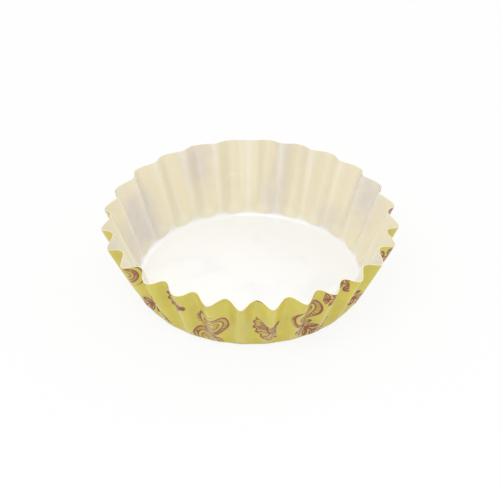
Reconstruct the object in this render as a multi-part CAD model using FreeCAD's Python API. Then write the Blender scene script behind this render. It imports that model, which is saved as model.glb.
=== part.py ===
import FreeCAD, Part
import copy
import math
import os

# A cupcake liner: one disc of film-laminated paper, pressed into a flat floor and a fluted wall.
# The origin is the centre of the floor's underside, and the cup opens towards +Z.
# The cup's front faces -Y, and turns are counted from there, anticlockwise from above.
#
# The wall is made of flat strips. A level cut through it is a wave of rounded crests and valleys
# with straight flanks between them. From one height to the next the flanks keep their direction and
# the bends are cut at the same turns, so each strip between two heights is flat.

DIMENSIONS = (
    ("foot_diameter", 51.3, "across the outward crests, where the wall would meet the underside"),
    ("rim_diameter", 67.0, "across the outward crests at the cut edge"),
    ("wall_height", 16.2, "from the underside to the cut edge of an outward crest"),
    ("paper_thickness", 0.15, "paper with its film"),
    ("fold_radius", 1.2, "inside face of the fold between floor and wall"),
    ("flute_count", 26, "flutes round the wall"),
    ("flank_angle", 48.0, "turn from the middle of a crest to the flank beside it, in degrees"),
    ("first_crest", 8.8, "turn of the first outward crest, in degrees"),
    ("crowding", 3.1, "most that a crest at the side is turned towards the front, in degrees"),
    ("shallow_flute", 13, "the flute whose inward crest the press left shallow"),
    ("shallow_flank_angle", 25.0, "its flank angle, in degrees"),
    ("rim_crest_radius", 0.9, "outside face of an outward crest, at the cut edge"),
    ("rim_valley_radius", 1.2, "outside face of an inward crest, at the cut edge"),
    ("foot_crest_radius", 1.9, "outside face of an outward crest, at the foot"),
    ("foot_valley_radius", 1.9, "outside face of an inward crest, at the foot"),
)
# Flat strips in half of one bend, and in the fold between floor and wall.
BEND_STRIPS = 2
FOLD_STRIPS = 3
# The bends of the tightest flute take at most this share of the room for them.
LARGEST_BENDS = 0.95
# How closely the cut edge is found along a crease, in halvings of its length.
HALVINGS = 40


def make_sheet(doc):
    sheet = doc.addObject("Spreadsheet::Sheet", "dims")
    for row, (alias, size, meaning) in enumerate(DIMENSIONS, start=1):
        sheet.set(f"A{row}", meaning)
        sheet.set(f"B{row}", str(size))
        sheet.setAlias(f"B{row}", alias)
    doc.recompute()
    return sheet


def polar(distance, angle):
    return FreeCAD.Vector(distance * math.cos(angle), distance * math.sin(angle), 0)


def between(low, high, share):
    return low + (high - low) * share


class Flute:
    """From the middle of one outward crest to the middle of the next."""

    def __init__(self, turn, next_turn, flank):
        self.turn = turn
        self.half_pitch = (next_turn - turn) / 2
        self.flank = flank


def flutes_of(sheet):
    """The press turns the side crests a little towards the front, so the flutes crowd there."""
    first = math.radians(sheet.first_crest)
    crowding = math.radians(sheet.crowding)
    turns = []
    for index in range(sheet.flute_count + 1):
        even = first + 2 * math.pi * index / sheet.flute_count
        turns.append(even - crowding * math.sin(even))
    flutes = []
    for number, (turn, next_turn) in enumerate(zip(turns, turns[1:]), start=1):
        shallow = number == sheet.shallow_flute
        flank = sheet.shallow_flank_angle if shallow else sheet.flank_angle
        flutes.append(Flute(turn, next_turn, math.radians(flank)))
    return flutes


class Wave:
    """The outside face of the paper in a level cut, at one height."""

    def __init__(self, sheet, flutes, height):
        share = height / sheet.wall_height
        self.flutes = flutes
        self.height = height
        self.reach = between(sheet.foot_diameter, sheet.rim_diameter, share) / 2
        self.crest_bend = between(sheet.foot_crest_radius, sheet.rim_crest_radius, share)
        self.valley_bend = between(sheet.foot_valley_radius, sheet.rim_valley_radius, share)
        self.fit_bends()

    def fit_bends(self):
        """Bends too round for the tightest flute are made smaller, so that its flanks are left."""
        smaller = 1
        for flute in self.flutes:
            slip = math.tan(flute.flank - flute.half_pitch)
            room = self.reach * (math.sin(flute.flank) - slip * math.cos(flute.flank))
            crest_share = math.sin(flute.flank) + slip * (1 - math.cos(flute.flank))
            wanted = self.crest_bend * crest_share + self.valley_bend * slip
            smaller = min(smaller, LARGEST_BENDS * room / wanted)
        self.crest_bend *= smaller
        self.valley_bend *= smaller

    def valley_distance(self, flute):
        """From the Z axis to the centre of a valley's bend."""
        along_normal = (self.reach - self.crest_bend) * math.cos(flute.flank)
        bends = self.crest_bend + self.valley_bend
        return (along_normal + bends) / math.cos(flute.flank - flute.half_pitch)

    def middle(self):
        """Halfway between the outward and the inward crests, in the most common flute."""
        flute = self.flutes[0]
        return (self.reach + self.valley_distance(flute) - self.valley_bend) / 2

    def moved(self, inset, lift):
        """The same wave with its outline moved in by one distance and up by another."""
        moved = copy.copy(self)
        moved.height = self.height + lift
        moved.reach = self.reach - inset
        moved.crest_bend = self.crest_bend - inset
        moved.valley_bend = self.valley_bend + inset
        return moved

    def drawn_in(self, inset):
        """The same flutes, nearer to the Z axis."""
        moved = copy.copy(self)
        moved.reach = self.reach - inset
        return moved

    def half_flute(self, flute):
        """Points from the middle of a crest, on the X axis, to the middle of the valley after it."""
        crest = polar(self.reach - self.crest_bend, 0)
        valley = polar(self.valley_distance(flute), flute.half_pitch)
        points = []
        for step in range(BEND_STRIPS + 1):
            turn = flute.flank * step / BEND_STRIPS
            points.append(crest + polar(self.crest_bend, turn))
        for step in range(BEND_STRIPS + 1):
            turn = between(flute.flank, flute.half_pitch, step / BEND_STRIPS)
            points.append(valley - polar(self.valley_bend, turn))
        return points

    def ring(self):
        """Every flute, mirrored in its own valley and turned to its place round the Z axis."""
        points = []
        for flute in self.flutes:
            half = self.half_flute(flute)
            mirrored = [turned(point, 2 * flute.half_pitch, mirror=True) for point in half[-2:0:-1]]
            from_x_axis = flute.turn - math.pi / 2
            points += [turned(point, from_x_axis) for point in half + mirrored]
        return [point + FreeCAD.Vector(0, 0, self.height) for point in points]


def turned(point, angle, mirror=False):
    around = math.atan2(point.y, point.x)
    if mirror:
        around = -around
    return polar(math.hypot(point.x, point.y), around + angle)


def wall_rings(sheet):
    """Rings from the floor's edge up to the guide line above the rim, outside and inside."""
    thickness = sheet.paper_thickness
    flutes = flutes_of(sheet)
    corner = Wave(sheet, flutes, 0).middle()
    rim = Wave(sheet, flutes, sheet.wall_height)
    lean = math.atan2(rim.middle() - corner, sheet.wall_height)
    slant = math.hypot(rim.reach - corner, sheet.wall_height)

    outer_fold = sheet.fold_radius + thickness
    turn = math.pi / 2 - lean
    centre_inset = outer_fold * math.tan(turn / 2)
    outside = []
    inside = []
    for step in range(FOLD_STRIPS + 1):
        facing = between(-math.pi / 2, -lean, step / FOLD_STRIPS)
        height = outer_fold + outer_fold * math.sin(facing)
        inset = math.tan(lean) * height + centre_inset - outer_fold * math.cos(facing)
        row = Wave(sheet, flutes, height).drawn_in(inset)
        inner_row = row.moved(thickness * math.cos(facing), -thickness * math.sin(facing))
        outside.append(row.ring())
        inside.append(inner_row.ring())
    guide = Wave(sheet, flutes, slant)
    inner_guide = guide.moved(thickness * math.cos(lean), thickness * math.sin(lean))
    outside.append(guide.ring())
    inside.append(inner_guide.ring())
    return outside, inside, corner, slant


def cut_to_length(fold_ring, guide_ring, corner, slant):
    """The blank is a round disc, so the wall is equally long all round, measured from its corner."""
    rim_ring = []
    for foot, guide in zip(fold_ring, guide_ring):
        low = 0.0
        high = 1.0
        for _ in range(HALVINGS):
            share = (low + high) / 2
            point = foot + (guide - foot) * share
            length = math.hypot(math.hypot(point.x, point.y) - corner, point.z)
            if length < slant:
                low = share
            else:
                high = share
        rim_ring.append(foot + (guide - foot) * high)
    return rim_ring


def polygon_face(points):
    return Part.Face(Part.makePolygon(list(points) + [points[0]]))


def strips(low_ring, high_ring):
    """A flat face between each pair of neighbours on two rings."""
    count = len(low_ring)
    faces = []
    for index in range(count):
        after = (index + 1) % count
        corners = (low_ring[index], low_ring[after], high_ring[after], high_ring[index])
        faces.append(polygon_face(corners))
    return faces


def edge_strips(outer_ring, inner_ring):
    """The cut edge. It twists a little, so each piece of it is two flat triangles."""
    count = len(outer_ring)
    faces = []
    for index in range(count):
        after = (index + 1) % count
        faces.append(polygon_face((outer_ring[index], outer_ring[after], inner_ring[after])))
        faces.append(polygon_face((outer_ring[index], inner_ring[after], inner_ring[index])))
    return faces


def liner_shape(sheet):
    outside, inside, corner, slant = wall_rings(sheet)
    faces = []
    for rings in (outside, inside):
        rings[-1] = cut_to_length(rings[-2], rings[-1], corner, slant)
        faces.append(polygon_face(rings[0]))
        for low_ring, high_ring in zip(rings, rings[1:]):
            faces += strips(low_ring, high_ring)
    faces += edge_strips(outside[-1], inside[-1])
    shell = Part.makeShell(faces)
    shell.sewShape()
    solid = Part.makeSolid(shell)
    if solid.Volume < 0:
        solid.reverse()
    return solid


def check(doc):
    for item in doc.Objects:
        if "Invalid" in item.State or "Error" in item.State:
            raise RuntimeError(f"{item.Name} did not compute: {item.State}")
    shape = doc.liner.Shape
    if shape.isNull() or not shape.isValid() or len(shape.Solids) != 1:
        raise RuntimeError("the liner is not one valid solid")


def main():
    doc = FreeCAD.newDocument("cupcake_liner")
    sheet = make_sheet(doc)
    liner = doc.addObject("Part::Feature", "liner")
    liner.Label = "liner"
    liner.Shape = liner_shape(sheet)
    doc.recompute()
    check(doc)
    os.makedirs("parts", exist_ok=True)
    liner.Shape.exportStep("parts/liner.step")
    box = liner.Shape.optimalBoundingBox()
    print("size mm", round(box.XLength, 3), round(box.YLength, 3), round(box.ZLength, 3))
    print("volume mm3", round(liner.Shape.Volume, 2), "faces", len(liner.Shape.Faces))


main()
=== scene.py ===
import bisect
import math
import random

import bmesh
import bpy
from bpy.props import FloatProperty, FloatVectorProperty, IntProperty, PointerProperty
from mathutils import Matrix, Vector


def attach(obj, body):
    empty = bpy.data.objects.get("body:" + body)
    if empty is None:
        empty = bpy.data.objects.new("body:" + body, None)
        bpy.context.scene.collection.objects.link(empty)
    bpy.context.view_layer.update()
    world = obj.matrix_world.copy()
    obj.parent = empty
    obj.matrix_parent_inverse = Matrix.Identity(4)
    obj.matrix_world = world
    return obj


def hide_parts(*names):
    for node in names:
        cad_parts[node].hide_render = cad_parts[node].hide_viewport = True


# A cupcake liner on a pale floor. A round blank of film-laminated paper is spun as a flat disc, and
# then every point of it is pressed to its place in the fluted cup. The blank's flat coordinates
# stay with it, so the print runs over floor and wall.

bl_info = {
    "name": "Cupcake liner",
    "version": (1, 0, 0),
    "blender": (4, 5, 0),
    "location": "View3D > Sidebar > Liner",
    "description": "A fluted baking cup of printed, film-laminated paper",
    "category": "Object",
}

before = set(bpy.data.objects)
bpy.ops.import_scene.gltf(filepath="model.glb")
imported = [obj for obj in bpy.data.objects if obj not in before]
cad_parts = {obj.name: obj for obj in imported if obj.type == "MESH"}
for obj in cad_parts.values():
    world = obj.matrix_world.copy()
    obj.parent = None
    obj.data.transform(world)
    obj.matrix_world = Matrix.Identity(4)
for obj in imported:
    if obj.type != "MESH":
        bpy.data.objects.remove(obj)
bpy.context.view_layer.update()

MM = 0.001
FULL_TURN = 2 * math.pi
# The blank's flat map is a square of this width, with the blank's middle at its centre.
MAP_WIDTH = 100 * MM
# The camera's distance is measured from this height on the cup's axis.
RIM_HEIGHT = 16 * MM
# The lamps are aimed at this place inside the cup.
LAMP_AIM = (0, 0, 8 * MM)
# Ink is full up to the first of these multiples of a line's half width, and gone at the second.
INK_FULL = 0.5
INK_GONE = 2.1


def paint(red, green, blue):
    """A colour written as 0 to 255 in display values, as the linear values that Blender takes."""
    linear = []
    for level in (red, green, blue):
        share = level / 255
        linear.append(share / 12.92 if share <= 0.04045 else ((share + 0.055) / 1.055) ** 2.4)
    return tuple(linear)


# The pressing of real paper is a little uneven. For each flute: the turn of its outward crest from
# the front, anticlockwise from above, in degrees, the crest's reach as a share of the widest, and
# the depth of the inward crest after it as a share of the usual depth.
FLUTES = (
    (9.0, 1.000, 0.99), (22.3, 0.998, 0.99), (34.8, 0.993, 1.01), (47.6, 0.993, 1.01),
    (61.7, 0.996, 1.05), (75.5, 0.996, 1.05), (88.2, 0.997, 0.91), (102.6, 0.995, 1.01),
    (116.7, 0.991, 1.00), (130.7, 0.991, 0.97), (146.0, 0.994, 1.01), (159.9, 0.999, 0.97),
    (173.2, 0.999, 0.30), (188.2, 0.995, 1.04), (202.9, 0.996, 0.95), (217.5, 0.993, 0.92),
    (231.6, 0.995, 1.12), (248.1, 0.988, 1.04), (261.2, 0.993, 0.72), (274.7, 1.000, 0.82),
    (288.2, 1.000, 0.90), (301.5, 0.996, 1.20), (315.9, 0.987, 1.24), (329.9, 0.981, 1.17),
    (343.8, 0.994, 0.96), (356.6, 1.000, 0.90),
)

# Painted shade where print shows through the wall, seen from inside: turn from the front and half
# width, in degrees, from and up to which share of the wall's height, and how deep the grey is.
SHOW_THROUGH_SHADE = (
    (241, 9, 0.02, 0.7, 0.56), (256, 5, 0.0, 0.6, 0.36), (204, 6, 0.5, 1.1, 0.34),
    (168, 5, 0.0, 0.45, 0.4), (166, 3, 0.3, 1.1, 0.34), (137, 7, -0.1, 0.4, 0.24),
    (118, 9, 0.42, 1.05, 0.44), (283, 6, 0.4, 1.1, 0.3), (62, 8, 0.3, 1.1, 0.34),
    (24, 7, 0.0, 0.7, 0.34), (348, 5, 0.2, 1.1, 0.34), (312, 8, 0.0, 0.6, 0.36),
)


class LinerShape(bpy.types.PropertyGroup):
    """Sizes of the pressed cup."""

    rim_radius: FloatProperty(
        name="Rim radius", description="From the axis to the widest outward crest at the cut edge",
        default=33.58 * MM, min=20 * MM, max=60 * MM, unit="LENGTH", subtype="DISTANCE",
    )
    corner_radius: FloatProperty(
        name="Corner radius", description="From the axis to where floor and wall would meet",
        default=24.94 * MM, min=15 * MM, max=50 * MM, unit="LENGTH", subtype="DISTANCE",
    )
    wall_slant: FloatProperty(
        name="Wall slant", description="From that corner up the paper to the cut edge",
        default=18.1 * MM, min=8 * MM, max=40 * MM, unit="LENGTH", subtype="DISTANCE",
    )
    fold_radius: FloatProperty(
        name="Fold radius", description="Outside face of the fold between floor and wall",
        default=1.35 * MM, min=0.5 * MM, max=4 * MM, unit="LENGTH", subtype="DISTANCE",
    )
    rim_depth: FloatProperty(
        name="Rim flute depth", description="From outward to inward crest at the cut edge",
        default=2.55 * MM, min=0.5 * MM, max=6 * MM, unit="LENGTH", subtype="DISTANCE",
    )
    foot_depth: FloatProperty(
        name="Foot flute depth", description="From outward to inward crest at the fold",
        default=0.14 * MM, min=0, max=3 * MM, unit="LENGTH", subtype="DISTANCE",
    )
    heel_depth: FloatProperty(
        name="Heel flute depth", description="What the flutes gain just above the fold",
        default=0.6 * MM, min=0, max=3 * MM, unit="LENGTH", subtype="DISTANCE",
    )
    thickness: FloatProperty(
        name="Paper thickness", description="Paper with its film",
        default=0.15 * MM, min=0.05 * MM, max=0.5 * MM, unit="LENGTH", subtype="DISTANCE",
    )
    columns: IntProperty(
        name="Columns", description="Divisions of the paper round the cup",
        default=728, min=260, max=1500,
    )


class LinerPaper(bpy.types.PropertyGroup):
    """Colours of the paper and its print."""

    yellow: FloatVectorProperty(
        name="Outside", description="Printed ground colour of the outside", subtype="COLOR",
        default=paint(222, 208, 80), min=0, max=1,
    )
    ink: FloatVectorProperty(
        name="Ink", description="Line drawings on the outside", subtype="COLOR",
        default=paint(140, 34, 42), min=0, max=1,
    )
    floor_white: FloatVectorProperty(
        name="Inside floor", description="White paper of the floor", subtype="COLOR",
        default=paint(254, 254, 253), min=0, max=1,
    )
    # Painted light: the wall's cream stands for the yellow outside lit from behind and shining
    # through the paper. The floor is the same paper and stays white.
    wall_cream: FloatVectorProperty(
        name="Inside wall", description="White paper with the yellow showing through",
        subtype="COLOR", default=paint(242, 233, 205), min=0, max=1,
    )
    # Painted shade: print seen through the paper from inside, laid on as grey patches.
    shadow_ink: FloatVectorProperty(
        name="Show-through", description="Print seen through the paper from inside",
        subtype="COLOR", default=paint(206, 200, 218), min=0, max=1,
    )
    cut_edge: FloatVectorProperty(
        name="Cut edge", description="Bare core of the paper at the rim", subtype="COLOR",
        default=paint(247, 242, 214), min=0, max=1,
    )
    print_pitch: FloatProperty(
        name="Print pitch", description="Distance between neighbouring drawings",
        default=12.5 * MM, min=4 * MM, max=40 * MM, unit="LENGTH", subtype="DISTANCE",
    )


class LinerStage(bpy.types.PropertyGroup):
    """Camera, lamps and floor."""

    camera_distance: FloatProperty(
        name="Camera distance", description="From the middle of the rim",
        default=0.99, min=0.2, max=3, unit="LENGTH", subtype="DISTANCE",
    )
    camera_elevation: FloatProperty(
        name="Camera elevation", description="Angle of the camera above the horizon",
        default=math.radians(35.1), min=0, max=math.pi / 2, unit="ROTATION", subtype="ANGLE",
    )
    sky: FloatProperty(
        name="Sky", description="Strength of the even light from all round",
        default=0.75, min=0, max=3, subtype="FACTOR",
    )
    key_power: FloatProperty(
        name="Key lamp", description="Power of the wide soft lamp above, in front",
        default=0.75, min=0, max=50, unit="POWER",
    )
    back_power: FloatProperty(
        name="Back lamp", description="Power of the weaker lamp behind, at the right",
        default=0.18, min=0, max=50, unit="POWER",
    )
    shadow_share: FloatProperty(
        name="Shadow share", description="How much of the shadow on the floor the camera sees",
        default=0.12, min=0, max=1, subtype="FACTOR",
    )


# Pressing the blank


def between(low, high, share):
    return low + (high - low) * share


def smooth_step(low, high, value):
    share = min(1, max(0, (value - low) / (high - low)))
    return share * share * (3 - 2 * share)


class Press:
    """Takes a point of the flat blank to its place in the pressed cup."""

    FLOOR_RINGS = 7
    FOLD_RINGS = 18
    WALL_RINGS = 26
    # The fold's rings reach past it, on both sides, by this share of the flutes' depth at the foot.
    FOLD_MARGIN = 0.7
    # Steps of the walk along the paper from one ring to the next.
    STEPS = 6
    # The inward crests are a little rounder than the outward ones, most of all at the rim.
    INWARD_ROUNDING = 0.05
    # 0 gives the flanks of a sine wave, and 1 gives straight flanks between sharp crests.
    FOOT_STRAIGHTNESS = 0.15
    RIM_STRAIGHTNESS = 0.48
    # The flutes open out over this share of the wall, counted from the fold. They deepen on the
    # whole way up, faster at the bottom than at the top where the power is above 1.
    HEEL_SHARE = 0.15
    DEEPENING_POWER = 1.4
    # What chance does to a flute at the foot: how far its crest is turned, and its depth as a share
    # of the usual one. It has the depth of the list above from this share of the wall upwards.
    SEED = 7
    FOOT_SWAY = math.radians(0.9)
    FOOT_SHARES = (0.6, 1.25)
    LISTED_DEPTH_FROM = 0.5

    def __init__(self, shape):
        self.shape = shape
        middle = shape.rim_radius - shape.rim_depth / 2
        self.lean = math.asin((middle - shape.corner_radius) / shape.wall_slant)
        self.turn = math.pi / 2 - self.lean
        self.setback = shape.fold_radius * math.tan(self.turn / 2)
        self.fold_length = shape.fold_radius * self.turn
        self.wall_length = shape.wall_slant - self.setback
        self.fold_start = shape.corner_radius - self.setback
        self.blank_radius = self.fold_start + self.fold_length + self.wall_length
        chance = random.Random(self.SEED)
        self.sway = [chance.uniform(-self.FOOT_SWAY, self.FOOT_SWAY) for _ in FLUTES]
        self.foot_share = [chance.uniform(*self.FOOT_SHARES) for _ in FLUTES]

    def ring_radii(self):
        """Radii of the blank's rings: few on the floor, and close together through the fold."""
        margin = self.shape.foot_depth * self.FOLD_MARGIN
        fold_low = self.fold_start - margin
        fold_high = self.fold_start + self.fold_length + margin
        radii = [fold_low * step / self.FLOOR_RINGS for step in range(self.FLOOR_RINGS)]
        for step in range(self.FOLD_RINGS):
            radii.append(fold_low + (fold_high - fold_low) * step / self.FOLD_RINGS)
        for step in range(self.WALL_RINGS + 1):
            radii.append(fold_high + (self.blank_radius - fold_high) * step / self.WALL_RINGS)
        return radii

    def flute_at(self, around, height_share):
        """The flute that a direction lies in, the one after it, and how far it is between them."""
        count = len(FLUTES)
        for index in range(count):
            low = math.radians(FLUTES[index][0]) + self.sway[index] * (1 - height_share)
            after = (index + 1) % count
            high = math.radians(FLUTES[after][0]) + self.sway[after] * (1 - height_share)
            if after == 0:
                high += FULL_TURN
            for direction in (around, around + FULL_TURN):
                if low <= direction < high:
                    return index, after, (direction - low) / (high - low)
        return count - 1, 0, 0.0

    def wave(self, share, height_share):
        """1 on an outward crest and -1 on an inward one."""
        angle = FULL_TURN * share
        rounding = self.INWARD_ROUNDING * height_share
        level = math.cos(angle) + rounding * (math.cos(2 * angle) - 1)
        straight = between(self.FOOT_STRAIGHTNESS, self.RIM_STRAIGHTNESS, height_share)
        return math.asin(straight * max(-1, min(1, level))) / math.asin(straight)

    def push(self, around, height_share):
        """How far the flutes push the paper out or in, and the wave there."""
        index, after, share = self.flute_at(around, height_share)
        wave = self.wave(share, height_share)
        foot = self.shape.foot_depth / 2
        heel = self.shape.heel_depth / 2
        rim = self.shape.rim_depth / 2
        grown = 1 - (1 - height_share) ** self.DEEPENING_POWER
        depth = foot + (rim - foot - heel) * grown
        depth += heel * smooth_step(0, self.HEEL_SHARE, height_share)
        if wave < 0:
            settled = smooth_step(0, self.LISTED_DEPTH_FROM, height_share)
            return wave * depth * between(self.foot_share[index], FLUTES[index][2], settled), wave
        reach = between(FLUTES[index][1], FLUTES[after][1], smooth_step(0, 1, share))
        drawn_in = (1 - reach) * self.shape.rim_radius * height_share
        return wave * (depth - drawn_in), wave

    def column(self, around, radii):
        """Distance from the axis, height and wave for each ring, in one direction.

        Each step takes the same share of the way left to the ring's radius. So a ring lies short of
        its radius by about half its distance from the ring before, and the cut edge by 0.3 mm.
        """
        foot_push, _ = self.push(around, 0)
        start = self.fold_start + foot_push
        path = []
        reach = 0.0
        height = 0.0
        before = 0.0
        pushed_before = foot_push
        for radius in radii:
            for _ in range(self.STEPS):
                step = (radius - before) / self.STEPS
                middle = before + step / 2
                bend = max(0, min(1, (middle - start) / self.fold_length))
                heading = math.pi / 2 - bend * self.turn
                up_wall = max(0, middle + step / 2 - start - self.fold_length)
                height_share = min(1, up_wall / self.wall_length)
                pushed = self.push(around, height_share)[0] if up_wall else foot_push
                out = step * math.sin(heading) + pushed - pushed_before
                reach += out
                height += math.sqrt(max(0, step * step - out * out))
                pushed_before = pushed
                before += step
            path.append((reach, height, self.push(around, height_share)[1]))
        return path


def flat_blank(radii, columns):
    """A flat disc: a line of points from the middle to the cut edge, spun once round."""
    bm = bmesh.new()
    line = [bm.verts.new((radius, 0, 0)) for radius in radii]
    edges = [bm.edges.new(pair) for pair in zip(line, line[1:])]
    bmesh.ops.spin(
        bm, geom=line + edges, cent=(0, 0, 0), axis=(0, 0, 1), angle=FULL_TURN, steps=columns,
        use_merge=True,
    )
    merge_distance = 0.001 * MM
    bmesh.ops.remove_doubles(bm, verts=bm.verts, dist=merge_distance)
    return bm


def press_blank(bm, press, radii):
    """Keep the flat coordinates as a UV map, then move every point to its place in the cup."""
    flat_map = bm.loops.layers.uv.new("flat_blank")
    flute_wave = bm.verts.layers.float.new("flute_wave")
    for face in bm.faces:
        for loop in face.loops:
            point = loop.vert.co
            loop[flat_map].uv = (0.5 + point.x / MAP_WIDTH, 0.5 + point.y / MAP_WIDTH)
    between_rings = [(low + high) / 2 for low, high in zip(radii, radii[1:])]
    middle_radius = 0.01 * MM
    paths = {}
    for vert in bm.verts:
        radius = math.hypot(vert.co.x, vert.co.y)
        # Turns are counted from the front of the cup, which faces -Y.
        around = math.atan2(vert.co.x, -vert.co.y) % FULL_TURN
        key = round(around, 5) if radius > middle_radius else 0.0
        if key not in paths:
            paths[key] = press.column(around, radii)
        reach, height, wave = paths[key][bisect.bisect(between_rings, radius)]
        vert.co = Vector((reach * math.sin(around), -reach * math.cos(around), height))
        vert[flute_wave] = wave


def pressed_cup(shape, materials):
    press = Press(shape)
    radii = press.ring_radii()
    bm = flat_blank(radii, shape.columns)
    press_blank(bm, press, radii)
    bmesh.ops.recalc_face_normals(bm, faces=bm.faces)
    middle = min(bm.faces, key=lambda face: face.calc_center_median().length)
    if middle.normal.z > 0:
        bmesh.ops.reverse_faces(bm, faces=bm.faces)
    for face in bm.faces:
        face.smooth = True
    for edge in bm.edges:
        edge.smooth = not edge.is_boundary
    mesh = bpy.data.meshes.new("fluted_cup")
    bm.to_mesh(mesh)
    bm.free()
    cup = bpy.data.objects.new("fluted_cup", mesh)
    bpy.context.scene.collection.objects.link(cup)
    for material in materials:
        mesh.materials.append(material)
    # The mesh is the outside face. The paper's thickness goes inwards from it, and its inner face
    # and its cut edge take the second and the third material.
    paper = cup.modifiers.new("paper_thickness", "SOLIDIFY")
    paper.thickness = shape.thickness
    paper.offset = -1
    paper.use_even_offset = True
    paper.use_quality_normals = True
    paper.material_offset = 1
    paper.material_offset_rim = 2
    return cup


# Materials


class Sum:
    """A number inside a node tree, so that a pattern can be written as a formula."""

    def __init__(self, tree, socket):
        self.tree = tree
        self.socket = socket

    def make(self, operation, *others):
        node = self.tree.nodes.new("ShaderNodeMath")
        node.operation = operation
        for slot, value in zip(node.inputs, (self, *others)):
            if isinstance(value, Sum):
                self.tree.links.new(value.socket, slot)
            else:
                slot.default_value = value
        return Sum(self.tree, node.outputs[0])

    def __add__(self, other):
        return self.make("ADD", other)

    def __sub__(self, other):
        return self.make("SUBTRACT", other)

    def __mul__(self, other):
        return self.make("MULTIPLY", other)

    def __truediv__(self, other):
        return self.make("DIVIDE", other)

    def over(self, other):
        return self.make("MAXIMUM", other)

    def size(self):
        return self.make("ABSOLUTE")

    def squared(self):
        return self.make("MULTIPLY", self)

    def root(self):
        return self.make("SQRT")

    def sine(self):
        return self.make("SINE")

    def cosine(self):
        return self.make("COSINE")

    def less_than(self, other):
        return self.make("LESS_THAN", other)

    def more_than(self, other):
        return self.make("GREATER_THAN", other)

    def soft(self, low, high):
        """0 below low and 1 above high, or the other way round when high is the smaller."""
        node = self.tree.nodes.new("ShaderNodeMapRange")
        node.interpolation_type = "SMOOTHSTEP"
        first, last = (low, high) if low < high else (high, low)
        node.inputs["From Min"].default_value = first
        node.inputs["From Max"].default_value = last
        node.inputs["To Min"].default_value = 0 if low < high else 1
        node.inputs["To Max"].default_value = 1 if low < high else 0
        self.tree.links.new(self.socket, node.inputs["Value"])
        return Sum(self.tree, node.outputs["Result"])


def turned(across, up, angle):
    cosine = angle.cosine()
    sine = angle.sine()
    return across * cosine - up * sine, across * sine + up * cosine


def steady_turn(across, up, angle):
    """The same for an angle that is a plain number."""
    cosine = math.cos(angle)
    sine = math.sin(angle)
    return across * cosine - up * sine, across * sine + up * cosine


def length_of(across, up):
    return (across.squared() + up.squared()).root()


def stroke(distance, half_width):
    """Ink along the line where this distance is nought."""
    return distance.size().soft(half_width * INK_GONE, half_width * INK_FULL)


def leaf_sprig(across, up):
    """A bent stem with pairs of leaves, drawn in outline with a vein and a thin wash."""
    stem_bend = 0.07
    half_height = 4.6
    leaf_spacing = 2.1
    leaf_out = 1.25
    leaf_tilt = math.radians(35)
    leaf_half_length = 1.3
    leaf_half_width = 0.56
    # Counted from far enough below the sprig that no count is negative.
    count_from = 20
    bent = across - up.squared() * stem_bend
    inside = up.size().less_than(half_height)
    stem = stroke(bent, 0.2) * inside
    along = (up + count_from).make("MODULO", leaf_spacing) - leaf_spacing / 2
    leaf_up, leaf_across = steady_turn(along, bent.size() - leaf_out, leaf_tilt)
    ring = length_of(leaf_across / leaf_half_length, leaf_up / leaf_half_width)
    outline = stroke(ring - 1, 0.24) * inside
    vein = stroke(leaf_up, 0.1) * ring.less_than(0.8) * inside
    shaded_half = leaf_up.soft(-0.1, 0.1) * 0.6 + 0.4
    return stem.over(outline).over(vein), ring.soft(1.05, 0.8) * shaded_half * inside


def fern_curl(across, up):
    """A young fern: a frond that widens as it winds outwards, with hatching across it."""
    breadth = 0.88
    tallness = 1.06
    turns_per_growth = 1.15
    frond_edge = 0.24
    hatch_lines = 26
    distance = length_of(across / breadth, up / tallness)
    around = up.make("ARCTAN2", across)
    wound = distance.make("LOGARITHM", math.e) * turns_per_growth - around / FULL_TURN
    # 8 whole turns more, so that no count is negative.
    arm = ((wound + 8).make("FRACT") - 0.5).size()
    reach = distance.soft(4.7, 4.4) * distance.soft(0.35, 0.6)
    edges = stroke(arm - frond_edge, 0.06)
    hatching = stroke((around * (hatch_lines / 2)).sine(), 0.26) * arm.less_than(frond_edge) * 0.8
    return edges.over(hatching) * reach, arm.soft(0.28, 0.18) * reach


def shell_fan(across, up):
    """A fan of ribs that spreads from a small knot, with a scalloped edge."""
    knot_below = 2.6
    half_spread = 1.0
    ribs_per_half_turn = 9
    fan_radius = 5.2
    scallop_height = 0.8
    arc_radius = 2.6
    raised = up + knot_below
    distance = length_of(across, raised)
    around = across.make("ARCTAN2", raised)
    spread = around.size().less_than(half_spread)
    fluted = around * ribs_per_half_turn
    edge = fluted.cosine().size() * scallop_height + fan_radius
    outline = stroke(distance - edge, 0.22) * spread
    rib_lines = stroke(fluted.sine() * distance / ribs_per_half_turn, 0.1)
    ribs = rib_lines * (distance / edge).less_than(0.95) * spread
    arc = stroke(distance - arc_radius, 0.2) * spread
    knot = distance.soft(1.1, 0.7)
    return outline.over(ribs).over(arc).over(knot), (distance / edge).soft(1.05, 0.8) * spread


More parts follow.
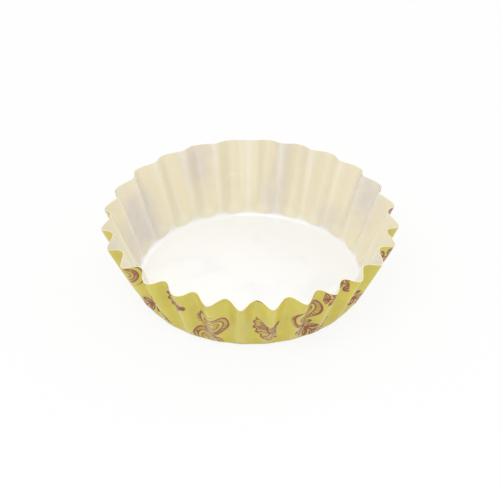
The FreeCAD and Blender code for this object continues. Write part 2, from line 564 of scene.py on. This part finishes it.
def drawing_group(pitch):
    """Node group: scattered drawings over the flat blank. It gives the ink's lines and its wash."""
    scatter = 0.55
    # Each drawing with the chance up to which a place gets it. The places above the last stay bare.
    drawings = ((leaf_sprig, 0.36), (fern_curl, 0.6), (shell_fan, 0.86))
    group = bpy.data.node_groups.new("scattered_drawings", "ShaderNodeTree")
    group.interface.new_socket("Flat", in_out="INPUT", socket_type="NodeSocketVector")
    for name in ("Lines", "Wash"):
        group.interface.new_socket(name, in_out="OUTPUT", socket_type="NodeSocketFloat")
    start = group.nodes.new("NodeGroupInput")
    end = group.nodes.new("NodeGroupOutput")
    cells = group.nodes.new("ShaderNodeTexVoronoi")
    cells.voronoi_dimensions = "2D"
    cells.feature = "F1"
    cells.inputs["Scale"].default_value = MM / pitch
    cells.inputs["Randomness"].default_value = scatter
    group.links.new(start.outputs["Flat"], cells.inputs["Vector"])
    local = group.nodes.new("ShaderNodeVectorMath")
    local.operation = "SUBTRACT"
    group.links.new(start.outputs["Flat"], local.inputs[0])
    group.links.new(cells.outputs["Position"], local.inputs[1])
    parts = group.nodes.new("ShaderNodeSeparateXYZ")
    group.links.new(local.outputs[0], parts.inputs[0])
    chances = group.nodes.new("ShaderNodeSeparateColor")
    group.links.new(cells.outputs["Color"], chances.inputs[0])
    choice = Sum(group, chances.outputs[0])
    angle = Sum(group, chances.outputs[1]) * FULL_TURN
    across, up = turned(Sum(group, parts.outputs[0]), Sum(group, parts.outputs[1]), angle)

    lines = None
    wash = None
    low = 0.0
    for draw, high in drawings:
        chosen = choice.more_than(low) * choice.less_than(high)
        drawn_lines, drawn_wash = draw(across, up)
        drawn_lines = drawn_lines * chosen
        drawn_wash = drawn_wash * chosen
        lines = lines.over(drawn_lines) if lines else drawn_lines
        wash = wash.over(drawn_wash) if wash else drawn_wash
        low = high

    # The ink is grainy, and the wash is patchy too.
    grain = noise(group, start.outputs["Flat"], scale=1.7, detail=3, roughness=0.6)
    patches = noise(group, start.outputs["Flat"], scale=0.35, detail=2, roughness=0.5)
    lines = lines * grain.soft(0.18, 0.4)
    wash = wash * (patches.soft(0.3, 0.5) * 0.45 + patches.soft(0.5, 0.6) * 0.55)
    wash = wash * (grain.soft(0.2, 0.6) * 0.7 + 0.3)
    for name, value in (("Lines", lines), ("Wash", wash)):
        group.links.new(value.socket, end.inputs[name])
    return group


def noise(tree, vector, scale, detail, roughness):
    node = tree.nodes.new("ShaderNodeTexNoise")
    node.inputs["Scale"].default_value = scale
    node.inputs["Detail"].default_value = detail
    node.inputs["Roughness"].default_value = roughness
    tree.links.new(vector, node.inputs["Vector"])
    return Sum(tree, node.outputs[0])


def blank_millimetres(tree):
    """The blank's flat coordinates in millimetres, measured from its middle."""
    flat = tree.nodes.new("ShaderNodeUVMap")
    flat.uv_map = "flat_blank"
    scaled = tree.nodes.new("ShaderNodeMapping")
    width = MAP_WIDTH / MM
    scaled.inputs["Location"].default_value = (-width / 2, -width / 2, 0)
    scaled.inputs["Scale"].default_value = (width, width, 1)
    tree.links.new(flat.outputs[0], scaled.inputs["Vector"])
    return scaled.outputs[0]


def mixed(tree, share, first, second):
    """From the first colour to the second. A colour is three numbers or a socket."""
    node = tree.nodes.new("ShaderNodeMix")
    node.data_type = "RGBA"
    for name, value in (("Factor", share), ("A", first), ("B", second)):
        slot = next(one for one in node.inputs if one.name == name and one.enabled)
        if isinstance(value, Sum):
            tree.links.new(value.socket, slot)
        elif isinstance(value, bpy.types.NodeSocket):
            tree.links.new(value, slot)
        else:
            slot.default_value = (*value, 1)
    return next(one for one in node.outputs if one.enabled)


def paper_material(name, roughness, coat, coat_roughness):
    material = bpy.data.materials.new(name)
    material.use_nodes = True
    tree = material.node_tree
    shader = tree.nodes["Principled BSDF"]
    shader.inputs["Roughness"].default_value = roughness
    shader.inputs["Coat Weight"].default_value = coat
    shader.inputs["Coat Roughness"].default_value = coat_roughness
    return material, tree, shader


def add_bump(tree, shader, height, strength, distance):
    bump = tree.nodes.new("ShaderNodeBump")
    bump.inputs["Strength"].default_value = strength
    bump.inputs["Distance"].default_value = distance
    tree.links.new(height.socket, bump.inputs["Height"])
    tree.links.new(bump.outputs[0], shader.inputs["Normal"])


def use_drawings(tree, group, flat):
    node = tree.nodes.new("ShaderNodeGroup")
    node.node_tree = group
    tree.links.new(flat, node.inputs["Flat"])
    return Sum(tree, node.outputs["Lines"]), Sum(tree, node.outputs["Wash"])


def flute_level(tree):
    node = tree.nodes.new("ShaderNodeAttribute")
    node.attribute_name = "flute_wave"
    return Sum(tree, node.outputs["Fac"])


def outside_material(paper, drawings):
    line_cover = 0.95
    wash_cover = 0.85
    deeper_share = 0.9
    material, tree, shader = paper_material(
        "printed_outside", roughness=0.42, coat=0.35, coat_roughness=0.25,
    )
    flat = blank_millimetres(tree)
    lines, wash = use_drawings(tree, drawings, flat)
    cloud = noise(tree, flat, scale=0.16, detail=3, roughness=0.5)
    deeper = tuple(level * deeper_share for level in paper.yellow)
    ground = mixed(tree, cloud.soft(0.35, 0.7), paper.yellow, deeper)
    washed = mixed(tree, wash * wash_cover, ground, paper.ink)
    inked = mixed(tree, lines * line_cover, washed, paper.ink)
    tree.links.new(inked, shader.inputs["Base Color"])
    fibres = noise(tree, flat, scale=2.4, detail=4, roughness=0.6)
    add_bump(tree, shader, fibres, strength=0.12, distance=0.05 * MM)
    return material


def painted_show_through(tree, across, up, radius, foot, rim):
    """Painted shade: soft grey patches up the wall, where print shows through. Their outlines are
    uneven.
    """
    # A patch is full up to the first share of its half width, and gone at the second. Up and down
    # it fades over this share of the wall's height, on both sides of its ends.
    full_width = 0.2
    faded_width = 1.6
    fade_height = 0.2
    flat = tree.nodes.new("ShaderNodeCombineXYZ")
    tree.links.new(across.socket, flat.inputs[0])
    tree.links.new(up.socket, flat.inputs[1])
    ragged = noise(tree, flat.outputs[0], scale=0.22, detail=1, roughness=0.5) - 0.5
    # Turns are counted from the front of the cup, as in the list of painted show-through patches.
    around = across.make("ARCTAN2", up * -1) + ragged * 0.12
    height = (radius - foot) / (rim - foot) + ragged * 0.5
    shade = None
    for turn, half_width, low, high, depth in SHOW_THROUGH_SHADE:
        off = (around - math.radians(turn)).cosine()
        width = math.radians(half_width)
        patch = off.soft(math.cos(faded_width * width), math.cos(full_width * width))
        patch = patch * height.soft(low - fade_height, low + fade_height)
        patch = patch * height.soft(high + fade_height, high - fade_height)
        shade = shade.over(patch * depth) if shade else patch * depth
    mottle = noise(tree, flat.outputs[0], scale=0.4, detail=1, roughness=0.5)
    return shade * (mottle.soft(0.25, 0.7) * 0.4 + 0.6)


def half_moon(across, up):
    """A small curved step in the film, half way up the back wall, that catches the light."""
    centre_across = -3.8
    centre_up = 30.6
    outer_radius = 4.4
    inner_radius = 3.9
    # Its lower side fades out, between these heights above the centre.
    faded_out = 0.5
    full = 3.6
    distance = length_of(across - centre_across, up - centre_up)
    return distance.soft(outer_radius, inner_radius) * (up - centre_up).soft(faded_out, full)


def inside_material(paper, press):
    material, tree, shader = paper_material(
        "white_inside", roughness=0.36, coat=1.0, coat_roughness=0.1,
    )
    flat = blank_millimetres(tree)
    parts = tree.nodes.new("ShaderNodeSeparateXYZ")
    tree.links.new(flat, parts.inputs[0])
    across = Sum(tree, parts.outputs[0])
    up = Sum(tree, parts.outputs[1])
    radius = length_of(across, up)
    foot = (press.fold_start + press.fold_length) / MM
    rim = press.blank_radius / MM
    # Painted highlight: the inward crests are painted whiter than the hollows between them. Their
    # pale lines widen towards the fold, so that each hollow ends there in a rounded tongue, painted
    # shading in place of the flutes' scalloped foot.
    tongue_depth = 0.3
    widening_height = 2.2
    crest_highlight = 0.34
    level = flute_level(tree)
    # The floor's white runs on through the fold, a painted highlight along it, and the wall above
    # the fold takes the cream of the painted light through the paper.
    wall = (radius + level * tongue_depth).soft(foot - 0.25, foot + 0.4)
    near_foot = radius.soft(foot + widening_height, foot)
    crest = (level - near_foot * 0.6).soft(-0.82, -1.0)
    crest_highlight_colour = tuple(0.5 * (white + cream) for white, cream in zip(paper.floor_white, paper.wall_cream))
    painted_highlight = (crest * (near_foot * 0.6 + crest_highlight)).over(near_foot * 0.12)
    cream = mixed(tree, painted_highlight, paper.wall_cream, crest_highlight_colour)
    ground = mixed(tree, wall, paper.floor_white, cream)
    shade = painted_show_through(tree, across, up, radius, foot, rim) * wall
    # The floor gets faint patches of the same painted shade.
    floor_shade = 0.1
    patches = noise(tree, flat, scale=0.085, detail=2, roughness=0.5).soft(0.5, 0.72) * floor_shade
    shaded = mixed(tree, shade.over(patches), ground, paper.shadow_ink)
    tree.links.new(shaded, shader.inputs["Base Color"])
    fibres = noise(tree, flat, scale=2.0, detail=4, roughness=0.55)
    relief = fibres * 0.03 + half_moon(across, up)
    add_bump(tree, shader, relief, strength=1.0, distance=0.15 * MM)
    return material


def edge_material(paper):
    material, _, shader = paper_material("cut_edge", roughness=0.7, coat=0.0, coat_roughness=0.1)
    shader.inputs["Base Color"].default_value = (*paper.cut_edge, 1)
    return material


# Stage


def camera_sees_white(tree, lit, share):
    """What the camera and mirrors see: the lit surface mixed towards an even white."""
    path = tree.nodes.new("ShaderNodeLightPath")
    seen = Sum(tree, path.outputs["Is Camera Ray"])
    seen = seen.over(Sum(tree, path.outputs["Is Glossy Ray"]))
    seen = seen.over(Sum(tree, path.outputs["Is Transmission Ray"]))
    white = tree.nodes.new("ShaderNodeEmission")
    white.inputs["Color"].default_value = (1, 1, 1, 1)
    white.inputs["Strength"].default_value = 1
    mix = tree.nodes.new("ShaderNodeMixShader")
    tree.links.new((seen * share).socket, mix.inputs[0])
    tree.links.new(lit, mix.inputs[1])
    tree.links.new(white.outputs[0], mix.inputs[2])
    return mix.outputs[0]


def make_floor(stage):
    half_width = 3.0
    gap_under_cup = 0.05 * MM
    grey = 0.95
    bm = bmesh.new()
    bmesh.ops.create_grid(bm, x_segments=1, y_segments=1, size=half_width)
    bmesh.ops.translate(bm, verts=bm.verts, vec=(0, 0, -gap_under_cup))
    mesh = bpy.data.meshes.new("pale_floor")
    bm.to_mesh(mesh)
    bm.free()
    floor = bpy.data.objects.new("pale_floor", mesh)
    bpy.context.scene.collection.objects.link(floor)
    material = bpy.data.materials.new("pale_floor")
    material.use_nodes = True
    tree = material.node_tree
    tree.nodes.remove(tree.nodes["Principled BSDF"])
    matt = tree.nodes.new("ShaderNodeBsdfDiffuse")
    matt.inputs["Color"].default_value = (grey, grey, grey, 1)
    seen = camera_sees_white(tree, matt.outputs[0], 1 - stage.shadow_share)
    tree.links.new(seen, tree.nodes["Material Output"].inputs["Surface"])
    mesh.materials.append(material)


def make_sky(stage):
    world = bpy.data.worlds.new("even_sky")
    bpy.context.scene.world = world
    world.use_nodes = True
    tree = world.node_tree
    light = tree.nodes["Background"]
    light.inputs["Color"].default_value = (1, 1, 1, 1)
    light.inputs["Strength"].default_value = stage.sky
    seen = camera_sees_white(tree, light.outputs[0], 1.0)
    tree.links.new(seen, tree.nodes["World Output"].inputs["Surface"])


def make_lamp(name, place, width, height, power):
    light = bpy.data.lights.new(name, "AREA")
    light.shape = "ELLIPSE"
    light.size = width
    light.size_y = height
    light.energy = power
    lamp = bpy.data.objects.new(name, light)
    bpy.context.scene.collection.objects.link(lamp)
    lamp.location = place
    lamp.rotation_euler = (Vector(LAMP_AIM) - Vector(place)).to_track_quat("-Z", "Y").to_euler()


def make_camera(stage):
    """A long lens, aimed a little below the middle of the rim, with the slight tilt of the view."""
    # The view is 500 pixels wide. The lens is given by the pixels that an angle of one radian would
    # take, and the aim by how many pixels the rim's middle lies above the view's.
    sensor = 36.0
    frame_width = 500
    pixels_per_radian = 4428
    rim_above_middle = 28.7
    tilt = math.radians(0.33)
    data = bpy.data.cameras.new("view")
    data.sensor_width = sensor
    data.lens = pixels_per_radian / frame_width * sensor
    data.clip_start = 0.01
    camera = bpy.data.objects.new("view", data)
    bpy.context.scene.collection.objects.link(camera)
    elevation = stage.camera_elevation
    away = Vector((0, -math.cos(elevation), math.sin(elevation))) * stage.camera_distance
    place = Vector((0, 0, RIM_HEIGHT)) + away
    dip = math.atan2(rim_above_middle, pixels_per_radian)
    pitch = math.pi / 2 - elevation - dip
    turn = Matrix.Rotation(pitch, 4, "X") @ Matrix.Rotation(tilt, 4, "Z")
    camera.matrix_world = Matrix.Translation(place) @ turn
    bpy.context.scene.camera = camera


# Add-on


class LINER_OT_press_cup(bpy.types.Operator):
    """Press the printed blank into the fluted cup"""

    bl_idname = "liner.press_cup"
    bl_label = "Press cup"
    bl_options = {"REGISTER", "UNDO"}

    def execute(self, context):
        scene = context.scene
        paper = scene.liner_paper
        shape = scene.liner_shape
        drawings = drawing_group(paper.print_pitch)
        materials = (
            outside_material(paper, drawings),
            inside_material(paper, Press(shape)),
            edge_material(paper),
        )
        cup = pressed_cup(shape, materials)
        if not cup.data.polygons:
            raise RuntimeError("the cup has no faces")
        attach(cup, "root")
        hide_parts("liner")
        return {"FINISHED"}


class LINER_OT_set_stage(bpy.types.Operator):
    """Set the floor, the sky, the lamps and the camera"""

    bl_idname = "liner.set_stage"
    bl_label = "Set stage"
    bl_options = {"REGISTER", "UNDO"}

    def execute(self, context):
        stage = context.scene.liner_stage
        make_floor(stage)
        make_sky(stage)
        make_lamp("key", (-0.1, -0.22, 0.45), width=0.5, height=0.16, power=stage.key_power)
        make_lamp("back", (0.26, 0.28, 0.24), width=0.25, height=0.25, power=stage.back_power)
        make_camera(stage)
        context.scene.view_settings.view_transform = "Standard"
        return {"FINISHED"}


class LINER_PT_panel(bpy.types.Panel):
    """Sizes, colours and steps of the liner"""

    bl_idname = "LINER_PT_panel"
    bl_label = "Cupcake liner"
    bl_space_type = "VIEW_3D"
    bl_region_type = "UI"
    bl_category = "Liner"

    def draw(self, context):
        layout = self.layout
        for title, group, operator in (
            ("Shape", context.scene.liner_shape, LINER_OT_press_cup),
            ("Paper", context.scene.liner_paper, None),
            ("Stage", context.scene.liner_stage, LINER_OT_set_stage),
        ):
            box = layout.box()
            box.label(text=title)
            for name in group.bl_rna.properties.keys():
                if name not in ("rna_type", "name"):
                    box.prop(group, name)
            if operator:
                box.operator(operator.bl_idname)


GROUPS = (("liner_shape", LinerShape), ("liner_paper", LinerPaper), ("liner_stage", LinerStage))
OTHERS = (LINER_OT_press_cup, LINER_OT_set_stage, LINER_PT_panel)


def register():
    for name, group in GROUPS:
        bpy.utils.register_class(group)
        setattr(bpy.types.Scene, name, PointerProperty(type=group))
    for item in OTHERS:
        bpy.utils.register_class(item)


def unregister():
    for item in reversed(OTHERS):
        bpy.utils.unregister_class(item)
    for name, group in reversed(GROUPS):
        delattr(bpy.types.Scene, name)
        bpy.utils.unregister_class(group)


def main():
    register()
    bpy.ops.liner.press_cup()
    bpy.ops.liner.set_stage()


if __name__ == "__main__":
    main()
